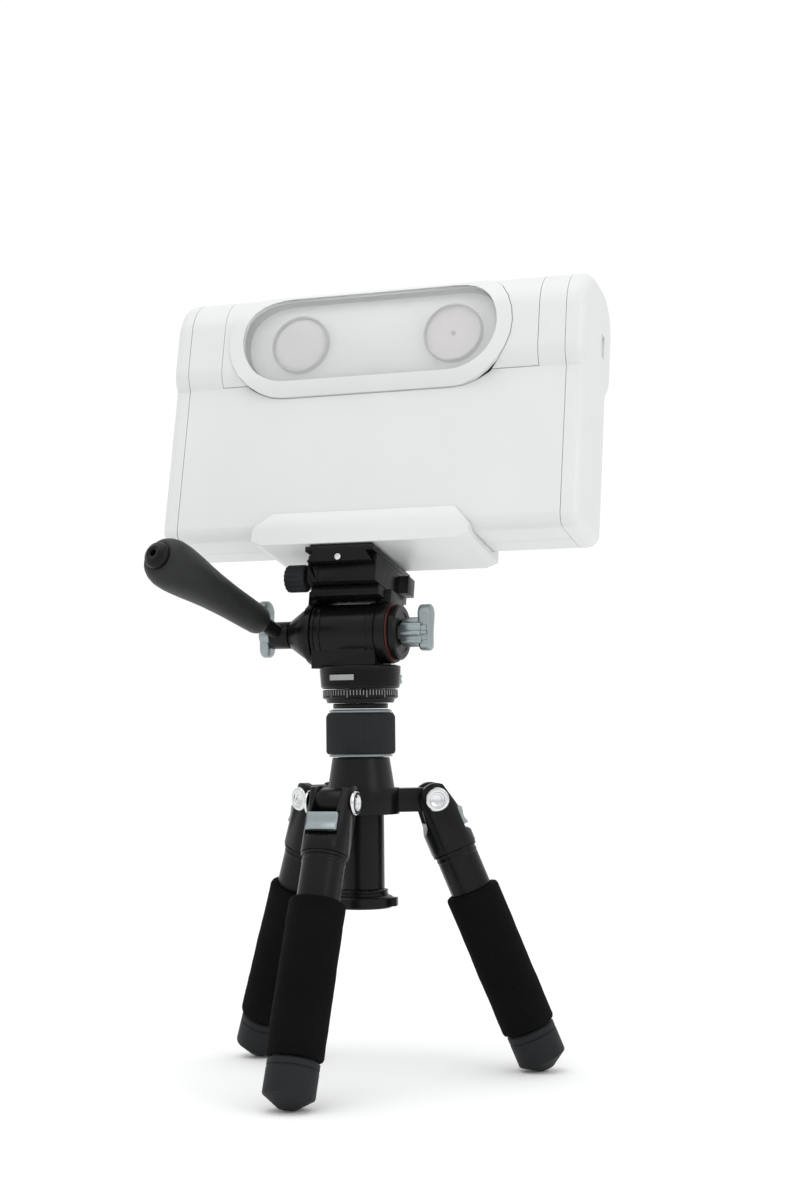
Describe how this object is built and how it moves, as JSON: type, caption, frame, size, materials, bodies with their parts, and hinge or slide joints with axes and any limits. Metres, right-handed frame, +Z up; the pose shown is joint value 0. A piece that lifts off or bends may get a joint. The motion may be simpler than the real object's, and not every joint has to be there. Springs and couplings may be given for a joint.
{
  "type": "structured-light scanner on tripod",
  "caption": "White rectangular 3-D scanner with a round-ended lens window, carried on a small three-legged stand by a pan-and-tilt head with a handle.",
  "frame": {"origin": "on the floor, under the middle of the whole object's box", "axes": "+Z up, -Y the way the scanner's window looks, +X along the scanner's length to the right seen from the front"},
  "size_m": [0.257, 0.19, 0.4616],
  "materials": {
    "white_shell": "satin, very fine grain",
    "black_metal": "satin black anodised",
    "rubber": "matte dark grey rubber",
    "foam": "matte closed-cell foam",
    "silver": "satin bead-blasted",
    "chrome": "polished",
    "grey_metal": "satin",
    "accent_red": "satin",
    "window_glass": "clear",
    "lens_glass": "coated lens",
    "circuit_board": "solder mask"
  },
  "bodies": {
    "hub_body": {"hub": "black_metal"},
    "front_leg": {"front_leg_yoke": "black_metal", "front_leg_tube": "black_metal", "front_leg_grip": "foam", "front_leg_foot": "rubber", "front_leg_pivot_bolt": "chrome"},
    "front_tab": {"front_angle_tab": "silver"},
    "right_leg": {"right_leg_yoke": "black_metal", "right_leg_tube": "black_metal", "right_leg_grip": "foam", "right_leg_foot": "rubber", "right_leg_pivot_bolt": "chrome"},
    "right_tab": {"right_angle_tab": "silver"},
    "left_leg": {"left_leg_yoke": "black_metal", "left_leg_tube": "black_metal", "left_leg_grip": "foam", "left_leg_foot": "rubber", "left_leg_pivot_bolt": "chrome"},
    "left_tab": {"left_angle_tab": "silver"},
    "column": {"centre_column": "black_metal", "column_foot": "black_metal", "column_head": "black_metal", "pan_scale_ring": "black_metal"},
    "collar": {"collar_nut": "silver", "collar_grip": "rubber"},
    "pan": {"pan_body": "black_metal", "pan_badge": "silver"},
    "pan_knob": {"pan_lock_knob": "silver"},
    "tilt": {"tilt_frame": "black_metal", "tilt_axle": "grey_metal", "tilt_accent_ring": "accent_red", "tilt_end_disc": "black_metal", "handle_rosette": "black_metal", "clamp_body": "black_metal"},
    "tilt_knob": {"tilt_lock_knob": "silver"},
    "handle": {"handle_arm": "black_metal", "handle_grip": "rubber", "handle_end_cap": "black_metal"},
    "handle_knob": {"handle_wing_knob": "silver"},
    "jaw": {"clamp_jaw": "black_metal"},
    "clamp_screw": {"clamp_knob": "rubber"},
    "scanner": {"quick_plate": "black_metal", "plate_pad": "rubber", "mounting_screw": "chrome", "plate_stop_screw": "chrome", "front_shell": "white_shell", "window_cover": "white_shell", "rear_shell": "white_shell", "left_end_cap": "white_shell", "right_end_cap": "white_shell", "window_bezel": "white_shell", "window_glass": "window_glass", "projector_lens_barrel": "grey_metal", "projector_lens": "lens_glass", "camera_lens_barrel": "grey_metal", "camera_lens": "lens_glass", "optics_frame": "grey_metal", "main_board": "circuit_board", "battery_pack": "grey_metal", "mount_bracket": "white_shell"}
  },
  "joints": [
    {"name": "front_leg_fold", "type": "hinge", "parent": "hub_body", "child": "front_leg", "pos_m": [-0.0086, -0.01948, 0.158], "axis": [0.9997, -0.0262, 0], "range_deg": [0, 22.5]},
    {"name": "front_tab_pull", "type": "slide", "parent": "front_leg", "child": "front_tab", "axis": [-0.0242, -0.9236, 0.3827], "range_m": [0, 0.003], "stiffness_N_per_m": 300, "springref_m": -0.003},
    {"name": "right_leg_fold", "type": "hinge", "parent": "hub_body", "child": "right_leg", "pos_m": [0.02941, 0.04254, 0.158], "axis": [-0.4772, 0.8788, 0], "range_deg": [0, 22.5]},
    {"name": "right_tab_pull", "type": "slide", "parent": "right_leg", "child": "right_tab", "axis": [0.8119, 0.4408, 0.3827], "range_m": [0, 0.003], "stiffness_N_per_m": 300, "springref_m": -0.003},
    {"name": "left_leg_fold", "type": "hinge", "parent": "hub_body", "child": "left_leg", "pos_m": [-0.04331, 0.04445, 0.158], "axis": [-0.5225, -0.8526, 0], "range_deg": [0, 22.5]},
    {"name": "left_tab_pull", "type": "slide", "parent": "left_leg", "child": "left_tab", "axis": [-0.7877, 0.4827, 0.3827], "range_m": [0, 0.003], "stiffness_N_per_m": 300, "springref_m": -0.003},
    {"name": "column_slide", "type": "slide", "parent": "hub_body", "child": "column", "axis": [0, 0, 1], "range_m": [0, 0.04]},
    {"name": "collar_twist", "type": "hinge", "parent": "hub_body", "child": "collar", "pos_m": [-0.0075, 0.0225, 0.196], "axis": [0, 0, 1], "range_deg": [0, 180]},
    {"name": "pan", "type": "hinge", "parent": "column", "child": "pan", "pos_m": [-0.0075, 0.0225, 0.23], "axis": [0, 0, 1], "continuous": true},
    {"name": "pan_lock_turn", "type": "hinge", "parent": "pan", "child": "pan_knob", "pos_m": [-0.00025, 0.04955, 0.2279], "axis": [0.2588, 0.9659, 0], "range_deg": [0, 180]},
    {"name": "tilt", "type": "hinge", "parent": "pan", "child": "tilt", "pos_m": [-0.0075, 0.0225, 0.2542], "axis": [1, 0, 0], "range_deg": [-45, 70]},
    {"name": "tilt_lock_turn", "type": "hinge", "parent": "tilt", "child": "tilt_knob", "pos_m": [0.0265, 0.0225, 0.2542], "axis": [1, 0, 0], "range_deg": [0, 180]},
    {"name": "handle_angle", "type": "hinge", "parent": "tilt", "child": "handle", "pos_m": [-0.0562, 0.0225, 0.2542], "axis": [1, 0, 0], "range_deg": [-12, 60]},
    {"name": "handle_lock_turn", "type": "hinge", "parent": "handle", "child": "handle_knob", "pos_m": [-0.0652, 0.0225, 0.2542], "axis": [1, 0, 0], "range_deg": [0, 180]},
    {"name": "jaw_open", "type": "slide", "parent": "tilt", "child": "jaw", "axis": [-1, 0, 0], "range_m": [0, 0.002]},
    {"name": "clamp_knob_turn", "type": "hinge", "parent": "jaw", "child": "clamp_screw", "pos_m": [-0.0425, 0.01014, 0.28623], "axis": [-1, 0, 0], "range_deg": [0, 720]},
    {"name": "plate_slide", "type": "slide", "parent": "tilt", "child": "scanner", "axis": [0, 0.9763, -0.2164], "range_m": [-0.012, 0.012]}
  ],
  "couplings": [
    {"joint": "clamp_knob_turn", "follows": "jaw_open", "rad_per_m": 6283.2}
  ]
}
